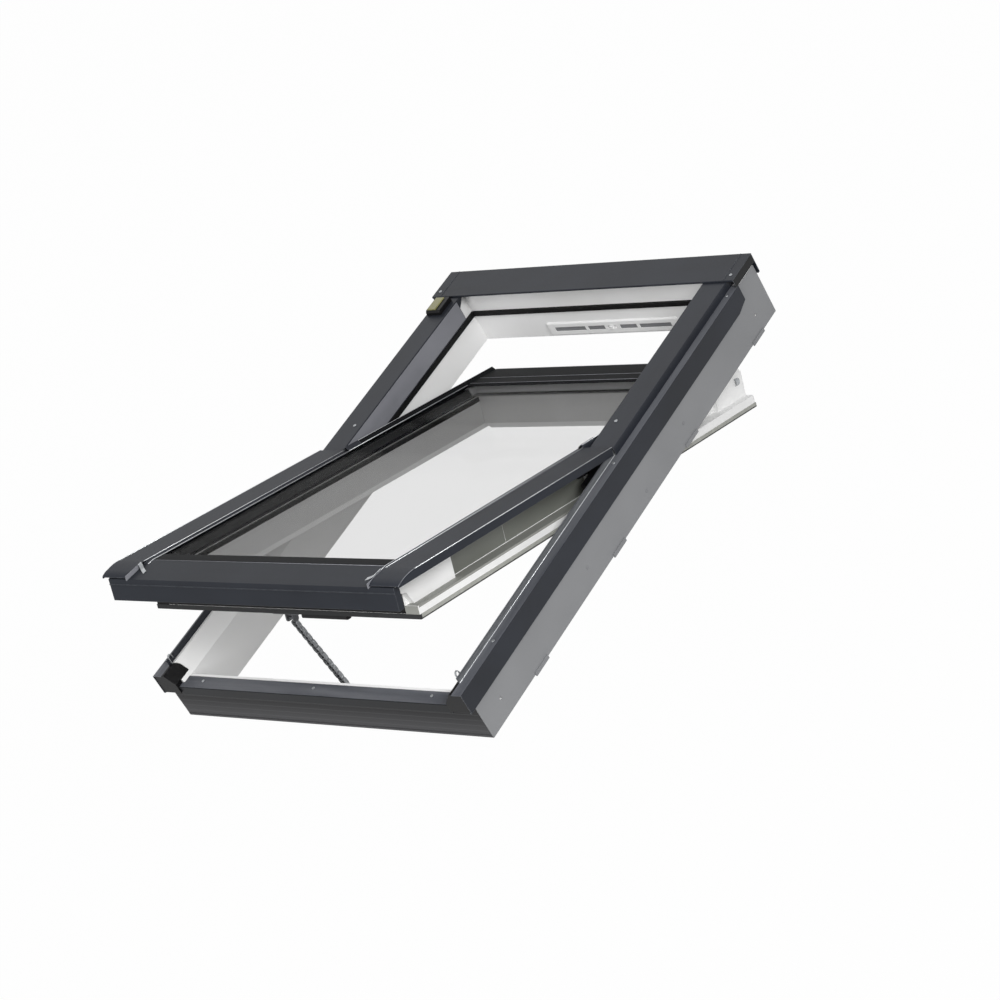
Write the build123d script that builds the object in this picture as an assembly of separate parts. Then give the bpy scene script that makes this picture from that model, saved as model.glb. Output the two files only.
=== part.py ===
from build123d import *
import os
from math import atan2, cos, degrees, hypot, radians, sin

# Centre-pivot roof window, 780 x 1180 mm, modelled with its sash swung open.
# X runs across the window, Y up the roof slope, Z out of the roof.
# The origin is the middle of the frame on its room-side plane.

# Overall sizes
frame_width = 780.0
frame_length = 1180.0
frame_depth = 122.0
open_angle = 21.27
sheet = 1.2
bend_radius = 1.6
upstand_bend = 0.9
overrun = 5.0

# Frame members
member_width = 50.0
bottom_rail_drop = 30.0
bottom_rail_width = 32.0
wall_chamfer_run = 7.0
wall_chamfer_drop = 8.0
ledge_width = 10.0
ledge_drop = 82.0
jamb_bevel_width = 26.0
jamb_bevel_drop = 30.0
jamb_bevel_end = -60.0
lining_groove_start = 10.0
lining_groove_width = 9.0
lining_groove_depth = 8.0
skin_thickness = 1.5
skin_drop = 4.0
skin_rib_start = 4.0
skin_rib_width = 2.0
skin_rib_depth = 1.2

# Frame seals
gasket_foot_depth = 6.0
gasket_foot_height = 5.0
gasket_lip_depth = 6.0
gasket_lip_height = 10.5
gasket_foot_rise = 3.0
gasket_start = 40.0
lower_seal_thickness = 1.6
lower_seal_width = 8.0
lower_seal_end_gap = 10.0
seal_gap = 0.4

# Frame cladding
upstand_inset = 19.0
upstand_height = 14.0
upstand_end_gap = 30.0
upstand_hem = 3.0
cladding_gap = 3.3
cladding_flange_drop = 44.0
cladding_overhang = 17.0
cladding_top_inset = 70.0
cladding_corner_run = 35.0
cladding_corner_drop = 10.0
bottom_cladding_overhang = 13.0
bottom_cladding_fold = 20.0
bottom_cladding_strip = 31.0
bottom_cladding_inset = 45.0
plug_gap = 1.0
plug_fit = 0.15
plug_cheek_height = 2.0
plug_cheek_length = 28.0
plug_cheek_radius = 12.0
plug_setback = 1.0

# Upper side covers
cover_inset = 12.0
cover_width = 58.0
upper_cover_rise = 18.0
upper_cover_start = 22.0
upper_cover_lap = 20.0
cover_flange_drop = 50.0
cover_flange_end_gap = 13.0
cover_flange_cut_run = 24.0
cover_flange_cut_drop = 20.0
cover_bracket_length = 30.0
cover_bracket_width = 25.0
cover_bracket_offset = 5.0
cover_bracket_shares = (0.15, 0.5, 0.85)

# Top hood
hood_rise = 22.0
hood_front_inset = 80.0
hood_back_overhang = 5.0
hood_side_overhang = 5.0
hood_back_drop = 46.0
hood_front_clearance = 0.3
hood_side_clearance = 1.2
hood_rib_inset = 18.0
hood_rib_width = 1.6
hood_rib_height = 0.8
hood_bracket_length = 30.0
hood_bracket_width = 30.0
hood_bracket_shares = (-0.64, 0.0, 0.64)

# Air inlet in the top rail
vent_width = 342.0
vent_height = 32.0
vent_plate = 4.0
vent_lift = 4.0
vent_shift = 16.0
vent_pocket_depth = 12.0
vent_pocket_margin = 4.0
vent_long_share = 0.24
vent_short_share = 0.129
vent_slot_height = 11.0
vent_bar = 7.0
vent_knob_slot = 26.0
slider_thickness = 2.0
slider_gap = 0.3
slider_travel = 12.0
slider_margin = 3.0
slider_window = 5.6
knob_width = 9.0
knob_height = 8.0
knob_reach = 3.5
mesh_thickness = 1.0
mesh_opening = 4.0
mesh_pitch = 6.0
duct_share = 0.38
duct_length = 15.0
duct_setback = 20.0
duct_margin = 20.0

# Rain sensor
sensor_width = 38.0
sensor_length = 48.0
sensor_height = 11.0
sensor_slope = 4.0
sensor_inset = 6.0
sensor_hood_gap = 10.0
sensor_pad_inset = 4.0
sensor_pad_height = 3.0
sensor_pad_width = 22.0

# Sash members
sash_side_gap = 4.0
sash_bottom_gap = 7.5
sash_top_gap = 7.0
sash_ledge_width = 30.0
sash_ledge_thickness = 25.0
stile_width = 24.0
stile_height = 76.0
stile_chamfer = 16.0
sash_bottom_rail_width = 36.0
sash_top_rail_width = 92.0
rim_seal_thickness = 1.5
rim_seal_height = 9.0

# Glass unit
inner_seal = 2.0
inner_pane = 6.0
glass_cavity = 16.0
outer_pane = 4.0
outer_seal = 1.0
glass_edge_gap = 3.0
glass_bottom_margin = 6.0
glass_top_bite = 20.0
spacer_width = 12.0
spacer_inset = 4.0
inner_seal_width = 15.0
bead_lap = 6.0
bottom_lap = 10.0
top_lap = 27.0

# Sash covers
pivot_rise = 4.0
cover_step = 3.5
cover_lip = 12.0
cover_leg_drop = 11.0
lower_cover_end = 12.0
skirt_height = 16.5
nose_overhang = 37.0
nose_length = 50.0
nose_drop = 13.0
nose_mid_share = 0.55
nose_mid_drop_share = 0.28
cover_lip_gap = 0.3
bottom_cover_flat = 30.0
bottom_cover_inset = 26.0
bottom_cover_overhang = 36.0
bottom_cover_slope_drop = 15.0
bottom_cover_front = 44.0
bottom_cover_hem = 8.0
bottom_cover_ridge_drop = 10.0
bottom_cover_ridge = 1.5
bottom_cover_end_flange = 14.0
top_strip_rise = 3.0
top_strip_ramp = 8.0
top_strip_leg_drop = 45.0
bead_rise = 8.0
bead_leg = 2.0
bead_leg_drop = 11.0
bead_start_gap = 0.5
cap_thickness = 12.0
cap_length = 129.0
upper_cap_length = 70.0
upper_cap_slope = 8.0
cap_low_length = 118.0
cap_nose_length = 48.0
cap_nose_rise = 37.0
cap_height = 56.0
cap_shoulder_run = 13.0
cap_shoulder_rise = 26.0

# Pivot hinges
pin_radius = 6.0
pin_running_gap = 0.05
pin_end_gap = 1.0
bush_radius = 11.0
bush_end_gap = 4.0
frame_plate = 6.0
frame_plate_length = 40.0
frame_plate_drop = 40.0
frame_plate_rise = 10.0
sash_plate = 5.0
sash_plate_length = 52.0
sash_plate_drop = 26.0
sash_plate_rise = 8.0
plate_corner = 6.0

# Chain opener
opener_width = 330.0
opener_depth = 46.0
opener_height = 32.0
opener_rise = 18.0
opener_corner = 6.0
opener_slot_width = 20.0
opener_slot_length = 14.0
opener_slot_depth = 10.0
chain_exit_setback = 34.0
chain_links = 14
link_plate = 1.6
link_height = 8.0
link_inner_gap = 7.0
link_pin_radius = 1.8
chain_end_gap = 0.3
chain_foot_depth = 9.0
bracket_width = 66.0
bracket_length = 26.0
bracket_plate = 4.0
bracket_inset = 5.0
bracket_shift = -4.0
ear_thickness = 3.0
ear_gap = 14.0
ear_length = 14.0
ear_pin_drop = 15.0
ear_pin_setback = 15.0
ear_pin_radius = 3.0
ear_tip = 6.0
grip_length = 112.0
grip_width = 14.0
grip_height = 10.0
grip_post = 12.0
grip_standoff = 3.0
grip_start = 32.0
grip_inset = 9.0
grip_round = 3.5

# Small fasteners and clips
screw_radius = 3.6
screw_height = 1.4
rivet_radius = 3.2
rivet_height = 1.2
fixing_hole_radius = 3.0
fixing_hole_depth = 30.0
fixing_hole_height = 39.0
fixing_hole_inset = 60.0
side_screw_height = 39.0
hinge_screw_height = 22.0
side_screw_shares = (-0.33, 0.35)
hinge_screw_share = 0.056
clip_length = 47.0
clip_thickness = 2.5
clip_height = 8.0
clip_drop = 3.0
clip_shares = (-0.695, -0.17, 0.349, 0.861)
cladding_screw_shares = (-0.797, 0.0, 0.827)
cladding_screw_inset = 13.0
cover_screw_share = 0.17
cover_screw_inset = 38.0
hood_screw_inset = 8.0
hood_screw_setback = 18.0
rivet_shares = (-0.85, 0.0, 0.85)
rivet_inset = 4.0

# Places worked out from the sizes above
bottom_rail_height = frame_depth - bottom_rail_drop
ledge_height = frame_depth - ledge_drop
skin_height = frame_depth - skin_drop
half_width = frame_width / 2
half_length = frame_length / 2
core_x = half_width - skin_thickness
core_y = half_length - skin_thickness
inner_x = half_width - member_width
inner_y = half_length - member_width
bottom_wall_y = -(half_length - bottom_rail_width)
ledge_y = bottom_wall_y + ledge_width
pivot_z = frame_depth + pivot_rise

sash_room_z = ledge_height + lower_seal_thickness + seal_gap
sash_ledge_z = sash_room_z + sash_ledge_thickness
sash_half = inner_x - sash_side_gap
sash_bottom = bottom_wall_y + sash_bottom_gap
sash_top = inner_y - sash_top_gap
wall_x = sash_half - sash_ledge_width
wall_top = sash_top - sash_ledge_width
stile_inner = wall_x - stile_width
rebate_z = sash_room_z + stile_height
sash_open_bottom = sash_bottom + sash_bottom_rail_width
sash_open_top = wall_top - sash_top_rail_width

inner_pane_z = rebate_z + inner_seal
spacer_z = inner_pane_z + inner_pane
outer_pane_z = spacer_z + glass_cavity
glass_z = outer_pane_z + outer_pane
seal_top_z = glass_z + outer_seal
glass_x = wall_x - glass_edge_gap
glass_bottom = sash_bottom + glass_bottom_margin
glass_top = sash_open_top + glass_top_bite
view_x = glass_x - bead_lap
view_bottom = glass_bottom + bottom_lap
view_top = glass_top - top_lap

cladding_x = half_width + cladding_gap + sheet
cladding_z = frame_depth + sheet
upstand_x = half_width - upstand_inset
cladding_top_end = half_length - cladding_top_inset
cladding_low_end = -(half_length + cladding_overhang)
flange_low_z = frame_depth - cladding_flange_drop
cover_x = half_width - cover_inset
cover_in_x = cover_x - cover_width
upper_cover_z = frame_depth + upper_cover_rise
lower_cover_z = seal_top_z + cover_step
hood_z = frame_depth + hood_rise
hood_front = half_length - hood_front_inset
hood_back = half_length + hood_back_overhang
hood_x = half_width + hood_side_overhang
vent_low_z = vent_lift
vent_top_z = vent_lift + vent_height
vent_face_y = inner_y - vent_plate
slider_y = inner_y + slider_gap
opener_top_z = opener_rise
cladding_seat_x = upstand_x + cladding_screw_inset - sheet

pivot_axis = Axis((0, 0, pivot_z), (1, 0, 0))


def box(x_span, y_span, z_span):
    """Block between two limits on each axis."""
    size = [high - low for low, high in (x_span, y_span, z_span)]
    middle = [(high + low) / 2 for low, high in (x_span, y_span, z_span)]
    return Pos(*middle) * Box(*size)


def along_x(face, x_low, x_high):
    """Extrude a section drawn in (Y, Z) from one X to another."""
    place = Plane(origin=(x_low, 0, 0), x_dir=(0, 1, 0), z_dir=(1, 0, 0))
    return extrude(place * face, amount=x_high - x_low)


def along_y(face, y_low, y_high):
    """Extrude a section drawn in (X, Z) from one Y to another."""
    place = Plane(origin=(0, y_high, 0), x_dir=(1, 0, 0), z_dir=(0, -1, 0))
    return extrude(place * face, amount=y_high - y_low)


def polygon(*points):
    """Flat face inside a closed outline."""
    return make_face(Polyline(*points, close=True))


def unit(start, end):
    """Direction from one flat point to another."""
    length = hypot(end[0] - start[0], end[1] - start[1])
    return (end[0] - start[0]) / length, (end[1] - start[1]) / length


def folded(*points, side=1, radius=bend_radius):
    """Section of a sheet folded along a line, the second skin to its left (1) or right (-1).

    Each point of the second skin is moved along the bisector of the two folds that meet there, and every
    outer corner of a bend is rounded.
    """
    other = []
    outer = []
    for index, point in enumerate(points):
        before = unit(points[index - 1], point) if index else unit(point, points[1])
        after = unit(point, points[index + 1]) if index + 1 < len(points) else before
        normals = [(-way[1] * side, way[0] * side) for way in (before, after)]
        stretch = sheet / (1 + normals[0][0] * normals[1][0] + normals[0][1] * normals[1][1])
        moved = [point[axis] + stretch * (normals[0][axis] + normals[1][axis]) for axis in (0, 1)]
        other.append(tuple(moved))
        turn = before[0] * after[1] - before[1] * after[0]
        if turn:
            outer.append(point if turn * side > 0 else other[-1])
    face = polygon(*points, *reversed(other))
    bends = [v for v in face.vertices() if min(hypot(v.X - a, v.Y - b) for a, b in outer) < sheet / 4]
    return fillet(bends, radius)


def ring(outer_x, outer_y, inner_x_half, inner_y_span, z_span):
    """Rectangular ring, symmetric in X, between an outer and an inner outline."""
    outer = box((-outer_x, outer_x), outer_y, z_span)
    cut_z = (z_span[0] - overrun, z_span[1] + overrun)
    return outer - box((-inner_x_half, inner_x_half), inner_y_span, cut_z)


def rod_x(radius, x_low, x_high, y, z):
    """Cylinder along X."""
    turn = Rot(0, 90, 0)
    return Pos((x_low + x_high) / 2, y, z) * turn * Cylinder(radius, x_high - x_low)


def stud_z(radius, height, x, y, z):
    """Low round head standing on a face that looks along Z."""
    return Pos(x, y, z + height / 2) * Cylinder(radius, height)


def left_of(shape):
    """Mirror image on the other side of the window."""
    return mirror(shape, about=Plane.YZ)


def swung(shape):
    """Sash piece, drawn shut, turned to the open pose."""
    return shape.rotate(pivot_axis, -open_angle)


def group(shapes):
    """Separate solids kept together in one node."""
    return Compound(children=[solid for shape in shapes for solid in shape.solids()])


nodes = {}


def both_sides(name, right, sash=False):
    """Add a right-hand piece and its mirror image."""
    for side, shape in (("right", right), ("left", left_of(right))):
        nodes[f"{side}_{name}"] = swung(shape) if sash else shape


# Frame jambs, with a bevelled lower half, a lining groove and a seat for the gasket
gasket_z = sash_ledge_z + seal_gap
gasket_foot_z = gasket_z + gasket_foot_rise
jamb = box((inner_x, core_x), (-core_y, core_y), (0, frame_depth))
bevel = polygon(
    (inner_x, frame_depth - jamb_bevel_drop),
    (inner_x + jamb_bevel_width, frame_depth),
    (inner_x + jamb_bevel_width, frame_depth + overrun),
    (inner_x - overrun, frame_depth + overrun),
    (inner_x - overrun, frame_depth - jamb_bevel_drop),
)
jamb -= along_y(bevel, -core_y - overrun, jamb_bevel_end)
groove_x = (inner_x + lining_groove_start, inner_x + lining_groove_start + lining_groove_width)
jamb -= box(groove_x, (-core_y - overrun, core_y + overrun), (-overrun, lining_groove_depth))
gasket_foot_span = (gasket_foot_z, gasket_foot_z + gasket_foot_height)
jamb -= box((inner_x - overrun, inner_x + gasket_foot_depth), (gasket_start, inner_y), gasket_foot_span)
hole_start = half_width - fixing_hole_depth
for end in (-1, 1):
    hole_y = end * (half_length - fixing_hole_inset)
    jamb -= rod_x(fixing_hole_radius, hole_start, half_width, hole_y, fixing_hole_height)
both_sides("jamb", jamb)

# Frame rails between the jambs
bottom_section = polygon(
    (-core_y, 0),
    (-core_y, bottom_rail_height),
    (bottom_wall_y - wall_chamfer_run, bottom_rail_height),
    (bottom_wall_y, bottom_rail_height - wall_chamfer_drop),
    (bottom_wall_y, ledge_height),
    (ledge_y, ledge_height),
    (ledge_y, 0),
)
nodes["bottom_rail"] = along_x(bottom_section, -inner_x, inner_x)

top_rail = box((-inner_x, inner_x), (inner_y, core_y), (0, frame_depth))
seat_x = (-inner_x - overrun, inner_x + overrun)
top_rail -= box(seat_x, (inner_y - overrun, inner_y + gasket_foot_depth), gasket_foot_span)
pocket_x = vent_width / 2 - vent_pocket_margin
pocket_z = (vent_low_z + vent_pocket_margin, vent_top_z - vent_pocket_margin)
vent_place = Pos(vent_shift, 0, 0)
pocket_y = (inner_y - overrun, inner_y + vent_pocket_depth)
top_rail -= vent_place * box((-pocket_x, pocket_x), pocket_y, pocket_z)
duct_width = duct_share * vent_width
for side in (-1, 1):
    duct_x = sorted((side * duct_margin, side * (duct_margin + duct_width)))
    duct_y = (inner_y + duct_setback, inner_y + duct_setback + duct_length)
    top_rail -= vent_place * box(duct_x, duct_y, (pocket_z[0], frame_depth + overrun))
    top_rail -= vent_place * box(duct_x, (inner_y, duct_y[1]), pocket_z)
nodes["top_rail"] = top_rail

# Grey outer skins
side_skin = box((core_x, half_width), (-half_length, half_length), (0, skin_height))
hole_end = half_width + overrun
for end in (-1, 1):
    hole_y = end * (half_length - fixing_hole_inset)
    side_skin -= rod_x(fixing_hole_radius, hole_start, hole_end, hole_y, fixing_hole_height)
both_sides("side_skin", side_skin)
nodes["top_skin"] = box((-core_x, core_x), (core_y, half_length), (0, skin_height))
rib_z = (skin_rib_start, skin_rib_start + skin_rib_width)
bottom_skin = box((-core_x, core_x), (-half_length, -core_y), (0, bottom_rail_height))
bottom_skin += box((-core_x, core_x), (-half_length - skin_rib_depth, -half_length), rib_z)
nodes["bottom_skin"] = bottom_skin

# Gasket round the upper half and seal on the bottom ledge
gasket_lip_span = (gasket_z, gasket_z + gasket_lip_height)
lip_x = inner_x - gasket_lip_depth
lip_y = inner_y - gasket_lip_depth
gasket_cut_z = (gasket_z - overrun, gasket_lip_span[1] + overrun)
gasket = box((-inner_x, inner_x), (gasket_start, inner_y), gasket_lip_span)
gasket -= box((-lip_x, lip_x), (gasket_start - overrun, lip_y), gasket_cut_z)
foot_x = inner_x + gasket_foot_depth
gasket_foot = box((-foot_x, foot_x), (gasket_start, inner_y), gasket_foot_span)
gasket_foot += box((-inner_x, inner_x), (inner_y, inner_y + gasket_foot_depth), gasket_foot_span)
gasket_foot -= box((-inner_x, inner_x), (gasket_start - overrun, inner_y), gasket_cut_z)
nodes["frame_gasket"] = gasket + gasket_foot
seal_x = inner_x - lower_seal_end_gap
seal_y = (ledge_y - plug_gap - lower_seal_width, ledge_y - plug_gap)
nodes["lower_seal"] = box((-seal_x, seal_x), seal_y, (ledge_height, ledge_height + lower_seal_thickness))

# Side claddings: top strip, inner upstand with a hem, outer flange with a hem on the skin
side_section = folded(
    (upstand_x + upstand_hem, frame_depth + upstand_height),
    (upstand_x, frame_depth + upstand_height),
    (upstand_x, frame_depth),
    (cladding_x - sheet, frame_depth),
    (cladding_x - sheet, flange_low_z + sheet),
    (half_width, flange_low_z + sheet),
    radius=upstand_bend,
)
side_cladding = along_y(side_section, cladding_low_end, cladding_top_end)
corner = polygon(
    (cladding_top_end - cladding_corner_run, flange_low_z - overrun),
    (cladding_top_end - cladding_corner_run, flange_low_z),
    (cladding_top_end, flange_low_z + cladding_corner_drop),
    (cladding_top_end + overrun, flange_low_z + cladding_corner_drop),
    (cladding_top_end + overrun, flange_low_z - overrun),
)
side_cladding -= along_x(corner, half_width - overrun, cladding_x + overrun)
upstand_end = cladding_low_end + upstand_end_gap
upstand_cut_x = (upstand_x - overrun, upstand_x + upstand_hem + overrun)
upstand_cut_z = (cladding_z, frame_depth + upstand_height + overrun)
side_cladding -= box(upstand_cut_x, (cladding_low_end - overrun, upstand_end), upstand_cut_z)
both_sides("side_cladding", side_cladding)

# Bottom cladding: top strip, front fold and a soffit back to the skin
bottom_front = -(half_length + bottom_cladding_overhang)
bottom_low_z = bottom_rail_height - bottom_cladding_fold
bottom_cladding_x = half_width - bottom_cladding_inset
bottom_fold = folded(
    (bottom_front + bottom_cladding_strip, bottom_rail_height),
    (bottom_front + sheet, bottom_rail_height),
    (bottom_front + sheet, bottom_low_z + sheet),
    (-half_length, bottom_low_z + sheet),
    side=-1,
)
bottom_cladding = along_x(bottom_fold, -bottom_cladding_x, bottom_cladding_x)
for side in (-1, 1):
    notch_x = sorted((side * (inner_x - plug_fit), side * (bottom_cladding_x + overrun)))
    notch_y = (-half_length - plug_fit, bottom_front + bottom_cladding_strip + overrun)
    bottom_cladding -= box(notch_x, notch_y, (bottom_rail_height - overrun, bottom_rail_height + overrun))
nodes["bottom_cladding"] = bottom_cladding

# Black plugs that close the lower ends of the side claddings, each with a cheek laid on the jamb's bevel
plug_in = bottom_cladding_x + plug_gap
plug_out = cladding_x - sheet - plug_fit
plug_low_z = flange_low_z + sheet + plug_fit
plug_y = (cladding_low_end + plug_setback, -half_length)
bevel_top_x = inner_x + jamb_bevel_width
bevel_low_z = frame_depth - (bevel_top_x - plug_in) * jamb_bevel_drop / jamb_bevel_width
cheek_out = upstand_x - plug_fit
plug_section = polygon(
    (plug_in, plug_low_z),
    (plug_in, bevel_low_z),
    (bevel_top_x, frame_depth),
    (cheek_out, frame_depth),
    (cheek_out, frame_depth - plug_fit),
    (plug_out, frame_depth - plug_fit),
    (plug_out, plug_low_z),
)
cheek_top_z = frame_depth + plug_cheek_height
cheek_section = polygon(
    (plug_in, bevel_low_z),
    (bevel_top_x, frame_depth),
    (cheek_out, frame_depth),
    (cheek_out, cheek_top_z),
    (bevel_top_x, cheek_top_z),
    (plug_in, bevel_low_z + plug_cheek_height),
)
cheek_back = plug_y[1] + plug_cheek_length
cheek_outline = polygon(
    (plug_y[0], bottom_rail_height),
    (cheek_back, bottom_rail_height),
    (cheek_back, cheek_top_z),
    (plug_y[0], cheek_top_z),
)
back_corner = cheek_outline.vertices().sort_by(Axis.X)[-2:].sort_by(Axis.Y)[-1]
cheek_outline = fillet(back_corner, plug_cheek_radius)
cheek = along_y(cheek_section, plug_y[0], cheek_back) & along_x(cheek_outline, plug_in, cheek_out)
both_sides("end_plug", along_y(plug_section, *plug_y) + cheek)

# Upper side covers on their brackets
upper_section = folded(
    (cover_x, cladding_z),
    (cover_x, upper_cover_z),
    (cover_in_x, upper_cover_z),
    (cover_in_x, upper_cover_z - cover_flange_drop),
)
upper_cover = along_y(upper_section, upper_cover_start, hood_front + upper_cover_lap)
flange_end = hood_front - cover_flange_end_gap
flange_cut = polygon(
    (flange_end, upper_cover_z - cover_flange_drop - overrun),
    (flange_end, upper_cover_z - cover_flange_cut_drop),
    (flange_end + cover_flange_cut_run, upper_cover_z - bend_radius - sheet),
    (hood_back, upper_cover_z - bend_radius - sheet),
    (hood_back, upper_cover_z - cover_flange_drop - overrun),
)
upper_cover -= along_x(flange_cut, cover_in_x - overrun, cover_in_x + bend_radius + sheet)
both_sides("upper_cover", upper_cover)

brackets = []
bracket_x = (inner_x + cover_bracket_offset, inner_x + cover_bracket_offset + cover_bracket_width)
for share in cover_bracket_shares:
    middle = upper_cover_start + share * (hood_front - upper_cover_start)
    bracket_y = (middle - cover_bracket_length / 2, middle + cover_bracket_length / 2)
    bracket = box(bracket_x, bracket_y, (frame_depth, upper_cover_z - sheet))
    brackets += [bracket, left_of(bracket)]
nodes["cover_brackets"] = group(brackets)

# Top hood: folded plate with a raised rib near each end, a back apron and two end pieces
hood_section = folded(
    (hood_front, upper_cover_z + hood_front_clearance),
    (hood_front, hood_z),
    (hood_back, hood_z),
    side=-1,
)
hood = along_x(hood_section, -hood_x, hood_x)
hood_ends = []
rib_out = half_width - hood_rib_inset
end_y =(hood_front + sheet + plug_fit, hood_back - sheet - plug_fit)
for side in (-1, 1):
    end_x = sorted((side * hood_x, side * (hood_x - sheet)))
    hood_ends.append(box(end_x, end_y, (cladding_z + hood_side_clearance, hood_z - sheet)))
    rib_x = sorted((side * rib_out, side * (rib_out - hood_rib_width)))
    hood += box(rib_x, (hood_front + bend_radius, hood_back), (hood_z, hood_z + hood_rib_height))
nodes["top_hood"] = hood
nodes["hood_ends"] = group(hood_ends)
apron_section = folded(
    (hood_back, hood_z - sheet),
    (hood_back, hood_z - hood_back_drop),
    (half_length, hood_z - hood_back_drop),
    side=-1,
)
nodes["hood_apron"] = along_x(apron_section, -hood_x, hood_x)

hood_brackets = []
for share in hood_bracket_shares:
    middle = share * half_width
    bracket_x = (middle - hood_bracket_length / 2, middle + hood_bracket_length / 2)
    bracket_y = (core_y - hood_bracket_width, core_y)
    hood_brackets.append(box(bracket_x, bracket_y, (frame_depth, hood_z - sheet)))
nodes["hood_brackets"] = vent_place * group(hood_brackets)

# Air inlet: grille plate, slider with its knob, insect mesh
slot_mid = vent_lift + vent_height / 2
slot_z = (slot_mid - vent_slot_height / 2, slot_mid + vent_slot_height / 2)
vent_long_slot = vent_long_share * vent_width
vent_short_slot = vent_short_share * vent_width
short_start = vent_knob_slot / 2 + vent_bar
long_start = short_start + vent_short_slot + vent_bar
slots = ((short_start, short_start + vent_short_slot), (long_start, long_start + vent_long_slot))
grille = box((-vent_width / 2, vent_width / 2), (vent_face_y, inner_y), (vent_low_z, vent_top_z))
grille_edges = grille.faces().sort_by(Axis.Y)[0].edges()
grille = chamfer(grille_edges, vent_plate / 2)
slider_x = pocket_x - slider_travel / 2 - slider_margin
slider_z = (pocket_z[0] + slider_margin, pocket_z[1] - slider_margin)
slider = box((-slider_x, slider_x), (slider_y, slider_y + slider_thickness), slider_z)
for side in (-1, 1):
    for start, end in slots:
        slot_x = sorted((side * start, side * end))
        grille -= box(slot_x, (vent_face_y - overrun, inner_y + overrun), slot_z)
knob_z = (slot_mid - knob_height / 2, slot_mid + knob_height / 2)
knob_slot_x = (-vent_knob_slot / 2, vent_knob_slot / 2)
knob_slot_z = (knob_z[0] - slider_gap, knob_z[1] + slider_gap)
grille -= box(knob_slot_x, (vent_face_y - overrun, inner_y + overrun), knob_slot_z)
nodes["vent_grille"] = vent_place * grille
mesh_y = (inner_y + vent_pocket_depth - mesh_thickness, inner_y + vent_pocket_depth)
mesh = box((-pocket_x, pocket_x), mesh_y, pocket_z)
window_columns = int((slider_x - slider_margin) / slider_travel) - 1
windows = []
mesh_holes = []
for column in range(1, window_columns + 1):
    for side in (-1, 1):
        hole_x = side * (column + 1 / 2) * slider_travel
        window_x = (hole_x - slider_window / 2, hole_x + slider_window / 2)
        windows.append(box(window_x, (inner_y - overrun, slider_y + overrun), slot_z))
        for row in (-1, 1):
            hole_z = slot_mid + row * mesh_pitch / 2
            hole_span_z = (hole_z - mesh_opening / 2, hole_z + mesh_opening / 2)
            mesh_holes.append(box(window_x, (mesh_y[0] - overrun, mesh_y[1] + overrun), hole_span_z))
nodes["insect_mesh"] = vent_place * (mesh - mesh_holes)
knob = box((-knob_width / 2, knob_width / 2), (vent_face_y - knob_reach, slider_y), knob_z)
knob = fillet(knob.edges().filter_by(Axis.Z).sort_by(Axis.Y)[:2], knob_width / 4)
nodes["vent_slider"] = vent_place * (slider - windows + knob)

# Rain sensor on the left upper cover
sensor_x = (-cover_x + sensor_inset, -cover_x + sensor_inset + sensor_width)
sensor_y = (hood_front - sensor_hood_gap - sensor_length, hood_front - sensor_hood_gap)
sensor_top = upper_cover_z + sensor_height
sensor_section = polygon(
    (sensor_y[0], upper_cover_z),
    (sensor_y[0], sensor_top - sensor_slope),
    (sensor_y[0] + sensor_slope, sensor_top),
    (sensor_y[1], sensor_top),
    (sensor_y[1], upper_cover_z),
)
nodes["rain_sensor"] = along_x(sensor_section, *sensor_x)
pad_x = (sensor_x[0] + sensor_pad_inset, sensor_x[0] + sensor_pad_inset + sensor_pad_width)
pad_y = (sensor_y[0] + sensor_slope, sensor_y[1] - sensor_pad_inset)
pad = box(pad_x, pad_y, (sensor_top, sensor_top + sensor_pad_height))
nodes["sensor_pad"] = chamfer(pad.faces().sort_by(Axis.Z)[-1].edges(), sensor_pad_height / 3)

# Sash stiles: ledge over the full length, wall up to the top rail's wall
stile_section = polygon(
    (sash_half, sash_room_z),
    (sash_half, sash_ledge_z),
    (wall_x, sash_ledge_z),
    (wall_x, rebate_z),
    (stile_inner, rebate_z),
    (stile_inner, sash_room_z + stile_chamfer),
    (stile_inner + stile_chamfer, sash_room_z),
)
stile = along_y(stile_section, sash_bottom, sash_top)
stile -= box((0, half_width), (wall_top, half_length), (sash_ledge_z, rebate_z + overrun))
both_sides("stile", stile, sash=True)

# Sash rails
bottom_rail_section = polygon(
    (sash_bottom, sash_room_z),
    (sash_bottom, rebate_z),
    (sash_open_bottom, rebate_z),
    (sash_open_bottom, sash_room_z + stile_chamfer),
    (sash_open_bottom - stile_chamfer, sash_room_z),
)
nodes["sash_bottom_rail"] = swung(along_x(bottom_rail_section, -stile_inner, stile_inner))
top_rail_section = polygon(
    (sash_top, sash_room_z),
    (sash_top, sash_ledge_z),
    (wall_top, sash_ledge_z),
    (wall_top, rebate_z),
    (sash_open_top, rebate_z),
    (sash_open_top, sash_room_z + stile_chamfer),
    (sash_open_top + stile_chamfer, sash_room_z),
)
nodes["sash_top_rail"] = swung(along_x(top_rail_section, -stile_inner, stile_inner))
rim_z = (sash_room_z, sash_room_z + rim_seal_height)
rim_y = (sash_bottom - rim_seal_thickness, sash_top + rim_seal_thickness)
rim_seal = ring(sash_half + rim_seal_thickness, rim_y, sash_half, (sash_bottom, sash_top), rim_z)
nodes["sash_rim_seal"] = swung(rim_seal)

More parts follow.
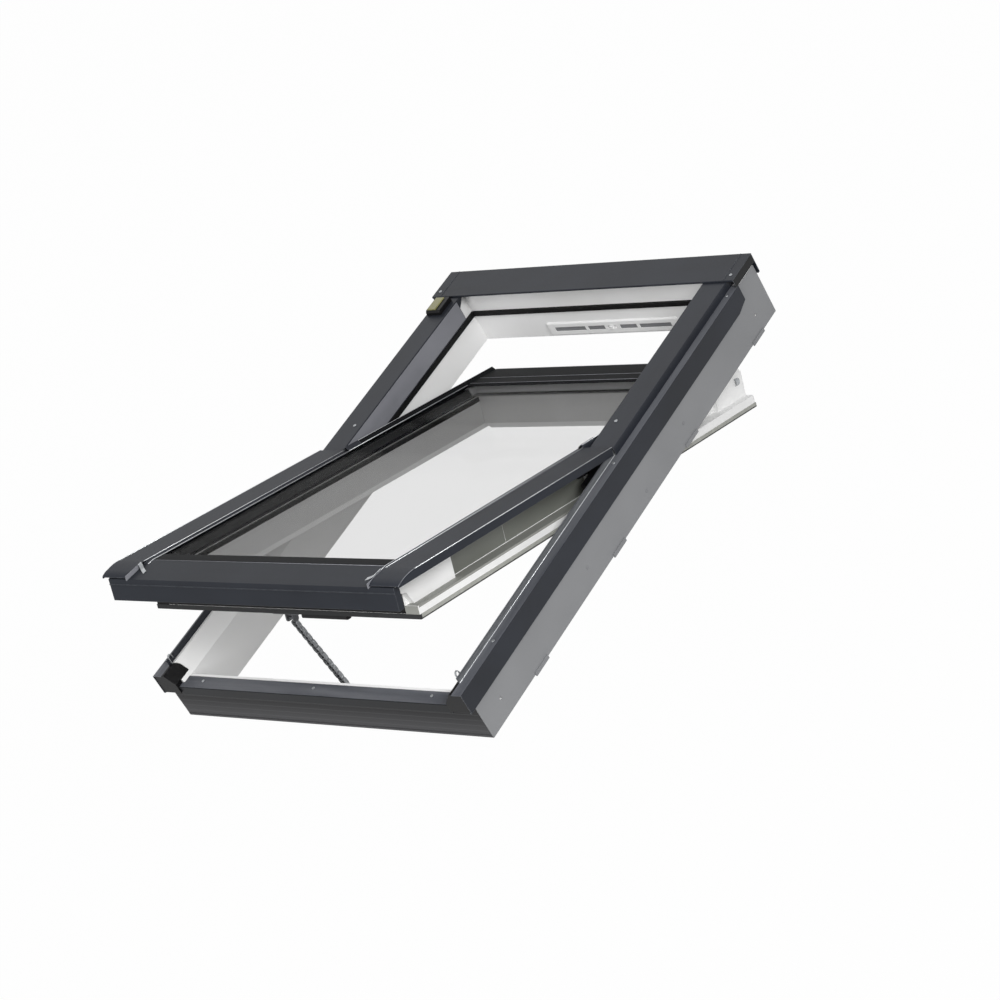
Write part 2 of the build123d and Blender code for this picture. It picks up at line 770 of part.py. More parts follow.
# Glass unit
glass_y = (glass_bottom, glass_top)
inner_seal_y = (glass_bottom + inner_seal_width, glass_top - inner_seal_width)
seal_ring = ring(glass_x, glass_y, glass_x - inner_seal_width, inner_seal_y, (rebate_z, inner_pane_z))
nodes["inner_glazing_seal"] = swung(seal_ring)
nodes["inner_pane"] = swung(box((-glass_x, glass_x), glass_y, (inner_pane_z, spacer_z)))
spacer_y = (glass_bottom + spacer_inset, glass_top - spacer_inset)
spacer_hole = (spacer_y[0] + spacer_width, spacer_y[1] - spacer_width)
spacer_x = glass_x - spacer_inset
spacer = ring(spacer_x, spacer_y, spacer_x - spacer_width, spacer_hole, (spacer_z, outer_pane_z))
nodes["glass_spacer"] = swung(spacer)
nodes["outer_pane"] = swung(box((-glass_x, glass_x), glass_y, (outer_pane_z, glass_z)))
outer_ring = ring(glass_x, glass_y, view_x, (view_bottom, view_top), (glass_z, seal_top_z))
nodes["outer_glazing_seal"] = swung(outer_ring)

# Lower side covers: lip on the glass seal, raised plate with a skirt, nose bent down at the lower end
nose_end = -(half_length + nose_overhang)
nose_start = nose_end + nose_length
cover_edge = lower_cover_z - nose_drop


def nose_line(drop):
    """Side view of a cover's top line, flat and then bent down, lowered by a drop."""
    bend = Spline(
        (nose_start, lower_cover_z - drop),
        (nose_start - nose_length * nose_mid_share, lower_cover_z - nose_drop * nose_mid_drop_share - drop),
        (nose_end, cover_edge - drop),
        tangents=((-1, 0), (-1, -1)),
    )
    return [Line((lower_cover_end, lower_cover_z - drop), (nose_start, lower_cover_z - drop)), bend]


def nose_face(low_end, low_start, lower_line):
    """Face under the cover's top line, closed at both ends down to a lower line."""
    ends = [
        Line((nose_end, cover_edge), (nose_end, low_end)),
        Line((lower_cover_end, low_start), (lower_cover_end, lower_cover_z)),
    ]
    return make_face(Curve() + nose_line(0) + lower_line + ends)


skirt_low = lower_cover_z - skirt_height
lip_out = view_x + cover_lip
plate_face = nose_face(cover_edge - sheet, lower_cover_z - sheet, nose_line(sheet))
cover_plate = along_x(plate_face, lip_out, cover_x)
skirt_line = [Line((nose_end, skirt_low), (lower_cover_end, skirt_low))]
skirt = along_x(nose_face(skirt_low, skirt_low, skirt_line), cover_x - sheet, cover_x)
lip_start = view_bottom + cover_lip_gap
lip_fold = box((view_x, lip_out + sheet), (lip_start, lower_cover_end), (seal_top_z, seal_top_z + sheet))
lip_fold += box((lip_out, lip_out + sheet), (lip_start, lower_cover_end), (seal_top_z, lower_cover_z))
leg_z = (seal_top_z - cover_leg_drop, seal_top_z + sheet)
lip_fold += box((wall_x, wall_x + sheet), (lip_start, lower_cover_end), leg_z)
lower_cover = cover_plate + skirt + lip_fold
both_sides("lower_cover", lower_cover, sash=True)

# Bottom cover: sloping top, front fold with a ridge, hem and end flanges
front_y = -(half_length + bottom_cover_overhang)
front_top = seal_top_z + sheet - bottom_cover_slope_drop
front_low = front_top - bottom_cover_front
bottom_cover_x = half_width - bottom_cover_inset
bottom_cover_section = folded(
    (view_bottom, seal_top_z + sheet),
    (view_bottom - bottom_cover_flat, seal_top_z + sheet),
    (front_y, front_top),
    (front_y, front_low),
    (front_y + bottom_cover_hem, front_low),
)
bottom_cover = along_x(bottom_cover_section, -bottom_cover_x, bottom_cover_x)
ridge_z = (front_top - bottom_cover_ridge_drop - bottom_cover_ridge, front_top - bottom_cover_ridge_drop)
bottom_cover += box((-bottom_cover_x, bottom_cover_x), (front_y - sheet, front_y + sheet / 2), ridge_z)
end_flange = polygon(
    (front_y + sheet / 2, front_low + sheet / 2),
    (front_y + sheet / 2, front_top - sheet),
    (front_y + bottom_cover_end_flange, front_top - sheet / 2),
    (front_y + bottom_cover_end_flange, front_low + sheet / 2),
)
for side in (-1, 1):
    flange_x = sorted((side * bottom_cover_x, side * (bottom_cover_x - sheet)))
    bottom_cover += along_x(end_flange, *flange_x)
nodes["bottom_cover"] = swung(bottom_cover)

# Top strip over the glass edge and the top rail
strip_z = seal_top_z + top_strip_rise
top_section = folded(
    (view_top, seal_top_z + sheet),
    (view_top + top_strip_ramp, strip_z),
    (wall_top + sheet, strip_z),
    (wall_top + sheet, strip_z - top_strip_leg_drop),
    side=-1,
)
top_strip_x = view_x - bead_start_gap
nodes["top_strip"] = swung(along_x(top_section, -top_strip_x, top_strip_x))

# Narrow glazing beads along the upper half
bead_top = seal_top_z + bead_rise
bead_section = polygon(
    (wall_x, seal_top_z - bead_leg_drop),
    (wall_x + bead_leg, seal_top_z - bead_leg_drop),
    (wall_x + bead_leg, bead_top),
    (wall_x, bead_top + bead_leg / 2),
    (view_x, seal_top_z + bead_leg),
    (view_x, seal_top_z),
    (glass_x, seal_top_z),
    (wall_x, seal_top_z + bead_leg),
)
bead = along_y(bead_section, lower_cover_end + bead_start_gap, wall_top)
both_sides("glazing_bead", bead, sash=True)

# White caps on the stiles' upper ends
upper_cap_section = polygon(
    (wall_top - upper_cap_length, sash_ledge_z),
    (sash_top, sash_ledge_z),
    (sash_top, pivot_z - upper_cap_slope),
    (sash_top - upper_cap_slope, pivot_z),
    (wall_top - upper_cap_length, pivot_z),
)
both_sides("upper_cap", along_x(upper_cap_section, wall_x, wall_x + cap_thickness), sash=True)

# White caps on the stiles' lower ends
cap_top_end = sash_bottom + cap_length
cap_low_end = cap_top_end - cap_low_length
cap_nose_end = sash_bottom - cap_nose_length
cap_top_z = sash_ledge_z + cap_height
cap_section = polygon(
    (cap_top_end, sash_ledge_z),
    (cap_low_end, sash_ledge_z),
    (cap_low_end - cap_shoulder_run, sash_ledge_z + cap_shoulder_rise),
    (cap_nose_end, sash_ledge_z + cap_nose_rise),
    (cap_nose_end, cap_top_z),
    (cap_top_end, cap_top_z),
)
both_sides("corner_cap", along_x(cap_section, wall_x, wall_x + cap_thickness), sash=True)

# Pivot hinges: frame plate, pin, sash plate with its bush
frame_plate_x = (inner_x - frame_plate, inner_x)
plate_y = (-frame_plate_length / 2, frame_plate_length / 2)
hinge_plate = box(frame_plate_x, plate_y, (pivot_z - frame_plate_drop, pivot_z + frame_plate_rise))
plate_corners = hinge_plate.edges().filter_by(Axis.X)
both_sides("hinge_plate", fillet(plate_corners, plate_corner))
bush_x = (wall_x + sash_plate, inner_x - frame_plate - bush_end_gap)
pin = rod_x(pin_radius, bush_x[0] + pin_end_gap, inner_x - frame_plate, 0, pivot_z)
nodes["hinge_pins"] = group([pin, left_of(pin)])
sash_plate_y = (-sash_plate_length / 2, sash_plate_length / 2)
sash_hinge = box((wall_x, bush_x[0]), sash_plate_y, (pivot_z - sash_plate_drop, pivot_z + sash_plate_rise))
sash_hinge = fillet(sash_hinge.edges().filter_by(Axis.X), plate_corner)
sash_hinge += rod_x(bush_radius, *bush_x, 0, pivot_z)
sash_hinge -= rod_x(pin_radius + pin_running_gap, bush_x[0], bush_x[1] + overrun, 0, pivot_z)
both_sides("sash_hinge", sash_hinge, sash=True)

# Bracket under the sash that the chain pushes, and the grip bar beside it
bracket_y = (sash_bottom + bracket_inset, sash_bottom + bracket_inset + bracket_length)
bracket_x = (bracket_shift - bracket_width / 2, bracket_shift + bracket_width / 2)
bracket = box(bracket_x, bracket_y, (sash_room_z - bracket_plate, sash_room_z))
ear_pin_y = sash_bottom + ear_pin_setback
ear_pin_z = sash_room_z - ear_pin_drop
for side in (-1, 1):
    ear_span = sorted((side * ear_gap / 2, side * (ear_gap / 2 + ear_thickness)))
    ear_y = (ear_pin_y - ear_length / 2, ear_pin_y + ear_length / 2)
    ear = box(ear_span, ear_y, (ear_pin_z - ear_tip, sash_room_z - bracket_plate))
    bracket += fillet(ear.edges().filter_by(Axis.X).sort_by(Axis.Z)[:2], ear_tip - bend_radius)
ear_reach = ear_gap / 2 + ear_thickness
bracket += rod_x(ear_pin_radius, -ear_reach, ear_reach, ear_pin_y, ear_pin_z)
nodes["chain_bracket"] = swung(bracket)
grip_x = (grip_start, grip_start + grip_length)
grip_y = (sash_bottom + grip_inset, sash_bottom + grip_inset + grip_width)
grip_z = (sash_room_z - grip_standoff - grip_height, sash_room_z - grip_standoff)
grip = box(grip_x, grip_y, grip_z)
grip = fillet(grip.edges().filter_by(Axis.X), grip_round)
for start in (grip_x[0], grip_x[1] - grip_post):
    grip += box((start, start + grip_post), grip_y, (grip_z[1] - grip_round, sash_room_z))
nodes["grip_bar"] = swung(grip)

# Chain opener on the room side of the bottom rail
exit_y = ledge_y + chain_exit_setback
opener_y = (ledge_y, ledge_y + opener_depth)
opener = box((-opener_width / 2, opener_width / 2), opener_y, (opener_top_z - opener_height, opener_top_z))
opener_edges = opener.edges().filter_by(Axis.X).sort_by(Axis.Y)[-2:]
opener = fillet(opener_edges, opener_corner)
slot_y = (exit_y - opener_slot_length / 2, exit_y + opener_slot_length / 2)
slot_x = (-opener_slot_width / 2, opener_slot_width / 2)
opener -= box(slot_x, slot_y, (opener_top_z - opener_slot_depth, opener_top_z + overrun))
nodes["opener_housing"] = opener

# Push chain, links laid from the slot's floor to the bracket's pin
swing = radians(open_angle)
pin_y = ear_pin_y * cos(swing) + (ear_pin_z - pivot_z) * sin(swing)
pin_z = pivot_z - ear_pin_y * sin(swing) + (ear_pin_z - pivot_z) * cos(swing)
foot_z = opener_top_z - chain_foot_depth
run_y = pin_y - exit_y
run_z = pin_z - ear_pin_radius - chain_end_gap - link_height - foot_z
link_pitch = hypot(run_y, run_z) / chain_links
lean = degrees(atan2(-run_y, run_z))
chain = None
for link in range(chain_links):
    inner = link_inner_gap / 2 + (link % 2) * link_plate
    low = link * link_pitch
    plate = SlotCenterToCenter(link_pitch, link_height)
    for side in (-1, 1):
        plate_x = sorted((side * inner, side * (inner + link_plate)))
        solid = along_x(Pos(0, low + link_pitch / 2) * Rot(0, 0, 90) * plate, *plate_x)
        chain = solid if chain is None else chain + solid
    reach = link_inner_gap / 2 + link_plate * 2
    chain += rod_x(link_pin_radius, -reach, reach, 0, low)
chain_axis = Axis((0, 0, 0), (1, 0, 0))
nodes["push_chain"] = Pos(0, exit_y, foot_z + link_height / 2) * chain.rotate(chain_axis, lean)

# Fasteners, clips and rivets
side_screws = []
screw_spots = [(share * half_length, side_screw_height) for share in side_screw_shares]
screw_spots.append((hinge_screw_share * half_length, hinge_screw_height))
for y, z in screw_spots:
    head = rod_x(screw_radius, half_width, half_width + screw_height, y, z)
    side_screws += [head, left_of(head)]
nodes["side_screws"] = group(side_screws)

cladding_screws = []
for share in cladding_screw_shares:
    head = stud_z(screw_radius, screw_height, cladding_seat_x, share * half_length, cladding_z)
    cladding_screws += [head, left_of(head)]
cover_spot = (cover_x - cover_screw_inset, cover_screw_share * half_length, upper_cover_z)
hood_spot = (half_width - hood_screw_inset, hood_front + hood_screw_setback, hood_z)
for spot in (cover_spot, hood_spot):
    head = stud_z(screw_radius, screw_height, *spot)
    cladding_screws += [head, left_of(head)]
nodes["cladding_screws"] = group(cladding_screws)

rivets = []
rivet_y = bottom_front + bottom_cladding_strip / 2 + rivet_inset
for share in rivet_shares:
    rivet_spot = (share * bottom_cladding_x, rivet_y, bottom_rail_height + sheet)
    rivets.append(stud_z(rivet_radius, rivet_height, *rivet_spot))
nodes["bottom_rivets"] = group(rivets)

clips = []
for share in clip_shares:
    clip_y = (share * half_length - clip_length / 2, share * half_length + clip_length / 2)
    clip = box((half_width, half_width + clip_thickness), clip_y, (-clip_drop, clip_height - clip_drop))
    clips += [clip, left_of(clip)]
nodes["lining_clips"] = group(clips)

os.makedirs("parts", exist_ok=True)
for name, shape in nodes.items():
    export_step(shape, f"parts/{name}.step")
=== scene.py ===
import bmesh
import bpy
import numpy as np
from mathutils import Matrix, Vector


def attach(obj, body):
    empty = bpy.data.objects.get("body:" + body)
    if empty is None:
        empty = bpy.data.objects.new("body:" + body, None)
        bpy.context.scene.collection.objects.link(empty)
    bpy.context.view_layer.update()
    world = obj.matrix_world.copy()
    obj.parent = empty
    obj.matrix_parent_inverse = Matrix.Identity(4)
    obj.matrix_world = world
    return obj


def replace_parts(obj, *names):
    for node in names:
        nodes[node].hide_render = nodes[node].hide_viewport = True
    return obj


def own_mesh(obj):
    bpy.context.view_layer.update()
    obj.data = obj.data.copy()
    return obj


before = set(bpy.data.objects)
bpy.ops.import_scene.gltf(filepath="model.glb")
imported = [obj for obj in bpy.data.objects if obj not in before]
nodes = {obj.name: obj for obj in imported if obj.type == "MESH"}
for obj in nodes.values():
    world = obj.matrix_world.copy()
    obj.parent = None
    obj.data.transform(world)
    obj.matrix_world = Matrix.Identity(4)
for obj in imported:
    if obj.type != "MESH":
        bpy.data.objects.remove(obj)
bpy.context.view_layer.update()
scene = bpy.context.scene
scene.view_settings.view_transform = "Standard"

# Places shared with the part's source, in metres; the sash is described shut and then swung open
MM = 0.001
PIVOT_Z = 126 * MM
OPEN_TURN = np.radians(21.27)
VENT_X = 16.0
FRONT_Y = -550.5
PANE_INDEX = 1.025  # low, so that the panes mirror little and show what is behind them


# Finishes

def srgb(text):
    """Linear colour from a hex code: a straight part near black, then a 2.4 power curve."""
    value = np.array([int(text[i:i + 2], 16) for i in (1, 3, 5)]) / 255
    linear = np.where(value <= 0.04045, value / 12.92, ((value + 0.055) / 1.055) ** 2.4)
    return (*(float(part) for part in linear), 1.0)


class Finish:
    """A principled material whose patterns are laid on the Object coordinate."""

    def __init__(self, name):
        self.material = bpy.data.materials.new(name)
        self.material.use_nodes = True
        self.tree = self.material.node_tree
        self.shader = self.tree.nodes["Principled BSDF"]
        self.place = self.add("ShaderNodeTexCoord").outputs["Object"]
        self.normal = None

    def join(self, value, socket):
        """Link a socket, or set a number or colour on it."""
        if isinstance(value, bpy.types.NodeSocket):
            self.tree.links.new(value, socket)
        else:
            socket.default_value = value

    def add(self, kind, **inputs):
        """New node with its named inputs set or linked."""
        node = self.tree.nodes.new(kind)
        for key, value in inputs.items():
            self.join(value, node.inputs[key.replace("_", " ")])
        return node

    def stretched(self, scale):
        """The Object coordinate scaled differently along the three axes."""
        return self.add("ShaderNodeMapping", Vector=self.place, Scale=scale).outputs["Vector"]

    def noise(self, scale, detail=2.0, vector=None):
        """Value noise about one half, with so many cells to the metre."""
        vector = self.place if vector is None else vector
        return self.add("ShaderNodeTexNoise", Vector=vector, Scale=scale, Detail=detail).outputs["Fac"]

    def span(self, value, low, high, start=0.3, end=0.7):
        """A value between two levels spread over an output range."""
        node = self.add("ShaderNodeMapRange", Value=value)
        for key, number in (("From Min", start), ("From Max", end), ("To Min", low), ("To Max", high)):
            node.inputs[key].default_value = number
        return node.outputs["Result"]

    def between(self, factor, first, second):
        """Colour mixed from one to another by a factor."""
        node = self.add("ShaderNodeMix")
        node.data_type = "RGBA"
        self.tree.links.new(factor, node.inputs[0])
        for index, colour in ((6, first), (7, second)):
            self.join(srgb(colour) if isinstance(colour, str) else colour, node.inputs[index])
        return node.outputs[2]

    def sums(self, operation, first, second):
        """One arithmetic step on two values."""
        node = self.add("ShaderNodeMath")
        node.operation = operation
        self.join(first, node.inputs[0])
        self.join(second, node.inputs[1])
        return node.outputs[0]

    def reach(self, direction):
        """Distance of a point along a direction, in metres."""
        node = self.add("ShaderNodeVectorMath")
        node.operation = "DOT_PRODUCT"
        self.tree.links.new(self.place, node.inputs[0])
        node.inputs[1].default_value = direction
        return node.outputs["Value"]

    def rounded(self, radius):
        """Normal softened over a small radius at the folds, and how strongly it turns there."""
        bevel = self.add("ShaderNodeBevel", Radius=radius)
        bevel.samples = 6
        flat = self.add("ShaderNodeNewGeometry").outputs["True Normal"]
        dot = self.add("ShaderNodeVectorMath")
        dot.operation = "DOT_PRODUCT"
        self.tree.links.new(bevel.outputs["Normal"], dot.inputs[0])
        self.tree.links.new(flat, dot.inputs[1])
        self.normal = bevel.outputs["Normal"]
        return self.span(dot.outputs["Value"], 1.0, 0.0, 0.80, 0.985)

    def set(self, **values):
        """Sockets of the shader, set or linked."""
        for key, value in values.items():
            self.join(value, self.shader.inputs[key.replace("_", " ")])

    def bump(self, height, distance, strength=1.0):
        """Surface relief from a height value, over the softened normal where there is one."""
        node = self.add("ShaderNodeBump", Height=height, Distance=distance, Strength=strength)
        if self.normal is not None:
            self.tree.links.new(self.normal, node.inputs["Normal"])
        self.tree.links.new(node.outputs["Normal"], self.shader.inputs["Normal"])


def coated_sheet(name, deep, pale, edge, roughness, grain_run, gloss=0.2):
    """Powder-coated sheet: cloudy tone, faint bands along the fold, folds lightened towards the edge colour in broken
    patches (a painted highlight on the fold radius, with some wear) and orange-peel relief.
    """
    finish = Finish(name)
    cloud = finish.noise(7.0, 3.0)
    grain = finish.noise(1400.0, 1.0)
    band = finish.noise(30.0, 2.0, finish.stretched(grain_run))
    tone = finish.between(finish.span(cloud, 0.0, 1.0), deep, pale)
    tone = finish.between(finish.span(band, 0.0, 0.6), tone, pale)
    # Painted highlight: the folds are lightened towards the edge colour, broken up by noise like wear.
    fold_gleam_and_wear = finish.sums("MULTIPLY", finish.rounded(0.0011), finish.span(finish.noise(60.0, 3.0), 0.35, 0.95))
    tone = finish.between(fold_gleam_and_wear, tone, edge)
    finish.set(Base_Color=tone, Roughness=finish.span(grain, roughness - 0.05, roughness + 0.07),
               Specular_IOR_Level=gloss)
    finish.bump(grain, 0.00005, 0.3)
    return finish.material


def cladding_sheet(name, grain_run, sides, tops):
    """Coated sheet whose upward faces take a lighter tone, a painted sheen, mottled in blotches drawn out along the
    sheet; its folds are lightened as painted highlights.
    """
    finish = Finish(name)
    cloud = finish.noise(7.0, 3.0)
    grain = finish.noise(1400.0, 1.0)
    blotch = finish.noise(45.0, 4.0, finish.stretched(grain_run))
    upward = finish.add("ShaderNodeSeparateXYZ")
    finish.tree.links.new(finish.add("ShaderNodeNewGeometry").outputs["True Normal"], upward.inputs[0])
    sheet = finish.between(finish.span(cloud, 0.0, 1.0), *sides)
    # Painted sheen: faces turned upwards take the lighter top tones, as if lit and mirroring the surround.
    top_sheen = finish.between(finish.span(blotch, 0.0, 1.0), *tops)
    tone = finish.between(finish.span(upward.outputs["Z"], 0.0, 1.0, 0.9, 0.95), sheet, top_sheen)
    # Painted highlight: every fold is lightened towards a pale grey.
    tone = finish.between(finish.sums("MULTIPLY", finish.rounded(0.0011), 0.7), tone, "#8a8d92")
    finish.set(Base_Color=tone, Roughness=finish.span(grain, 0.36, 0.48), Specular_IOR_Level=0.2)
    finish.bump(grain, 0.00005, 0.3)
    return finish.material


def moulded_plastic(name, deep, pale, roughness, relief=0.00004, gloss=0.4):
    """Moulded plastic: a slight drift of tone, satin gloss that varies, soft edges and a fine skin."""
    finish = Finish(name)
    drift = finish.noise(5.0, 2.0)
    skin = finish.noise(900.0, 2.0)
    tone = finish.between(finish.span(drift, 0.0, 1.0), deep, pale)
    finish.rounded(0.0009)
    finish.set(Base_Color=tone, Roughness=finish.span(skin, roughness - 0.04, roughness + 0.06),
               Specular_IOR_Level=gloss)
    finish.bump(skin, relief, 0.3)
    return finish.material


def toned_plastic(name, first, second, direction, start, end, ridge=None):
    """Dull plastic that passes from one tone to another along a direction, with a slight drift and a fine skin.

    With a ridge spacing, the peaks of a sine along that direction are painted paler: painted highlights on the crests
    of a ribbed skin.
    """
    finish = Finish(name)
    skin = finish.noise(900.0, 2.0)
    drift = finish.sums("MULTIPLY", finish.noise(30.0, 2.0), 0.002)
    along = finish.sums("ADD", finish.reach(direction), drift)
    tone = finish.between(finish.span(along, 0.0, 1.0, start, end), first, second)
    if ridge:
        # Painted highlights: the crests of a sine along the direction are lightened towards a pale grey.
        wave = finish.sums("SINE", finish.sums("MULTIPLY", along, 2 * np.pi / ridge), 0.0)
        tone = finish.between(finish.span(wave, 0.0, 0.17, 0.80, 0.98), tone, "#6a6a6c")
    finish.set(Base_Color=tone, Roughness=finish.span(skin, 0.46, 0.56), Specular_IOR_Level=0.25)
    finish.bump(skin, 0.00008, 0.3)
    return finish.material


def seal_rubber(name, deep, pale):
    """Rubber: dusty tone in patches and a dull skin."""
    finish = Finish(name)
    dust = finish.noise(40.0, 4.0)
    skin = finish.noise(1200.0, 2.0)
    finish.set(Base_Color=finish.between(finish.span(dust, 0.0, 1.0), deep, pale),
               Roughness=finish.span(skin, 0.55, 0.72), Specular_IOR_Level=0.2)
    finish.bump(skin, 0.00008, 0.4)
    return finish.material


def rim_rubber(name):
    """Grey rubber rim, darker along its foot, with a dark front run that is painted shade: the tone follows the
    height and length in the sash.
    """
    finish = Finish(name)
    rise = (0.0, float(np.sin(OPEN_TURN)), float(np.cos(OPEN_TURN)))
    room_side = float(PIVOT_Z * np.cos(OPEN_TURN) - PIVOT_Z + 42 * MM)
    height = finish.sums("SUBTRACT", finish.reach(rise), room_side)
    dust = finish.noise(55.0, 3.0)
    skin = finish.noise(1200.0, 2.0)
    grey = finish.between(finish.span(dust, 0.0, 1.0), "#9a9b95", "#abaca6")
    tone = finish.between(finish.span(height, 0.0, 1.0, 0.0022, 0.0027), "#3c3d3b", grey)
    front = finish.sums("ADD", finish.reach((0.0, rise[2], -rise[1])), float(PIVOT_Z * rise[1]))
    # Painted shade: the front run of the rim is darkened.
    tone = finish.between(finish.span(front, 0.0, 1.0, -0.5485, -0.5480), "#2a2b2c", tone)
    finish.set(Base_Color=tone, Roughness=finish.span(skin, 0.5, 0.65), Specular_IOR_Level=0.25)
    finish.bump(skin, 0.00006, 0.4)
    return finish.material


def drawn_metal(name, deep, pale, roughness, along, metallic=0.85):
    """Drawn or rolled metal: streaks stretched along one axis in tone and gloss."""
    finish = Finish(name)
    streak = finish.noise(700.0, 3.0, finish.stretched(along))
    patch = finish.noise(90.0, 3.0)
    tone = finish.between(finish.span(streak, 0.0, 1.0), deep, pale)
    tone = finish.between(finish.span(patch, 0.0, 0.5), tone, deep)
    finish.set(Base_Color=tone, Metallic=metallic,
               Roughness=finish.span(streak, roughness - 0.06, roughness + 0.08))
    finish.bump(streak, 0.00004, 0.25)
    return finish.material


def float_glass(name, tint):
    """Clear pane with a slight tint and a faint film of dust in its gloss."""
    finish = Finish(name)
    film = finish.noise(14.0, 3.0)
    finish.set(Base_Color=srgb(tint), Transmission_Weight=1.0, IOR=PANE_INDEX,
               Roughness=finish.span(film, 0.0, 0.01))
    return finish.material


anthracite = coated_sheet("anthracite coating", "#222429", "#292c33", "#7d8085", 0.40, (1.0, 0.05, 1.0))
anthracite_cross = coated_sheet("anthracite cross coating", "#222429", "#292c33", "#6b6e73", 0.40, (0.05, 1.0, 1.0))
# Side claddings: the lighter top tones are a painted sheen on the upward faces.
cladding_sheen_coat = cladding_sheet("cladding coating", (1.0, 0.08, 1.0), ("#222429", "#292c33"), ("#4e5056", "#6b6d72"))
# Bottom strip: the near-black sides are painted shade on its front faces, the lighter tops a painted sheen.
strip_shade_coat = cladding_sheet("bottom strip coating", (0.08, 1.0, 1.0), ("#0f1113", "#15171b"), ("#484a50", "#66686d"))
# Hood ends: the near-black tones are painted shade on the folded-down ends; the tops are only a little lighter.
hood_end_shade_coat = cladding_sheet("hood end coating", (0.08, 1.0, 1.0), ("#0d0e0f", "#131416"), ("#1f2125", "#272a2f"))
sash_coat = coated_sheet("sash coating", "#24262b", "#2b2e35", "#7d8085", 0.44, (1.0, 0.05, 1.0), 0.12)
sash_coat_cross = coated_sheet("sash cross coating", "#25272c", "#2c2f35", "#6b6e73", 0.44, (0.05, 1.0, 1.0), 0.12)
black_coat = coated_sheet("black coating", "#0f1012", "#17181a", "#55575a", 0.5, (0.05, 1.0, 1.0), 0.04)
white_frame = moulded_plastic("white frame plastic", "#ececeb", "#f4f4f4", 0.34)
# Pale grey for painted highlights and reflections: fold, edge and crease rods, flange sheets and nose tabs.
gleam_coat = coated_sheet("pale grey coating", "#727379", "#84858b", "#a9aab0", 0.42, (1.0, 0.05, 1.0))
grey_skin = moulded_plastic("grey side skin", "#818284", "#8a8b8d", 0.5, 0.00006, 0.3)
ledge_grey = moulded_plastic("grey ledge tape", "#8b8c87", "#989994", 0.45)
grey_trim = moulded_plastic("grey clip plastic", "#7c7d80", "#88898b", 0.5, 0.00006, 0.3)
# Lower skin: painted shade, much darker than the side skins and darkest at the top under the strip; its ridge lines
# are painted highlights.
shaded_lower_skin = toned_plastic("dark lower skin", "#444446", "#18181a", (0, 0, 1), 0.008, 0.056, 0.0135)
stile_grey = moulded_plastic("grey stile tape", "#666862", "#777973", 0.4)
gauze_grey = moulded_plastic("inlet gauze", "#77787a", "#87888a", 0.6, 0.0002, 0.2)
black_plastic = moulded_plastic("black plastic", "#080809", "#0e0e10", 0.45, 0.00006, 0.25)
rubber = seal_rubber("black seal rubber", "#070707", "#101010")
rim_grey = rim_rubber("grey rim rubber")
# Spacer and inner seal: the pale tone past the top of the glass is painted light, so that the top run reads brighter
# between the panes.
spacer_lit_top = toned_plastic("spacer bar", "#1f2021", "#bcbdbe", (0, 1, 0), 0.370, 0.375)
inner_seal_lit_top = toned_plastic("inner seal rubber", "#101010", "#9a9b9b", (0, 1, 0), 0.375, 0.379)
zinc = drawn_metal("zinc plating", "#9a9da0", "#c2c5c7", 0.34, (1.0, 0.1, 1.0))
# Bright metal for thin rods along folds and edges: painted highlights.
fold_gleam_metal = drawn_metal("bright fold", "#d2d5d8", "#eceef0", 0.3, (1.0, 0.02, 1.0), 0.45)
chain_steel = drawn_metal("chain steel", "#66686b", "#b4b6b8", 0.36, (1.0, 1.0, 0.3), 0.6)
bracket_steel = drawn_metal("bracket steel", "#4a4b4e", "#6c6e71", 0.42, (0.2, 1.0, 1.0), 0.5)
# Pale metal for the upstands' faces: painted light on a face turned to the lamp.
lit_face_metal = drawn_metal("painted lit face metal", "#6f7174", "#8b8d90", 0.45, (1.0, 0.03, 1.0), 0.5)
dark_steel = drawn_metal("black-coated steel", "#101112", "#1d1e20", 0.45, (1.0, 1.0, 0.2), 0.3)
clear_pane = float_glass("clear pane", "#f2f2f2")
gold_face = moulded_plastic("pale gold sensor face", "#77744c", "#8f8c62", 0.3, 0.00015, 0.5)

finishes = {
    anthracite: ("left_upper_cover", "right_upper_cover"),
    anthracite_cross: ("top_hood", "hood_apron"),
    hood_end_shade_coat: ("hood_ends",),
    cladding_sheen_coat: ("left_side_cladding", "right_side_cladding"),
    strip_shade_coat: ("bottom_cladding",),
    sash_coat: ("left_lower_cover", "right_lower_cover"),
    sash_coat_cross: ("bottom_cover",),
    black_coat: ("top_strip", "left_glazing_bead", "right_glazing_bead"),
    white_frame: ("left_jamb", "right_jamb", "top_rail", "bottom_rail", "left_stile", "right_stile",
                  "sash_bottom_rail", "sash_top_rail", "left_corner_cap", "right_corner_cap", "left_upper_cap",
                  "right_upper_cap", "vent_grille", "vent_slider", "opener_housing"),
    grey_skin: ("left_side_skin", "right_side_skin", "top_skin"),
    grey_trim: ("lining_clips",),
    shaded_lower_skin: ("bottom_skin",),
    black_plastic: ("left_end_plug", "right_end_plug", "rain_sensor", "insect_mesh", "grip_bar"),
    inner_seal_lit_top: ("inner_glazing_seal",),
    rubber: ("frame_gasket", "lower_seal", "outer_glazing_seal"),
    rim_grey: ("sash_rim_seal",),
    spacer_lit_top: ("glass_spacer",),
    zinc: ("hinge_pins", "cover_brackets", "hood_brackets"),
    bracket_steel: ("chain_bracket",),
    dark_steel: ("left_hinge_plate", "right_hinge_plate", "left_sash_hinge", "right_sash_hinge"),
    clear_pane: ("inner_pane", "outer_pane"),
    gold_face: ("sensor_pad",),
}
for material, names in finishes.items():
    for name in names:
        slots = nodes[name].data.materials
        slots.clear()
        slots.append(material)


# Ways of making a piece

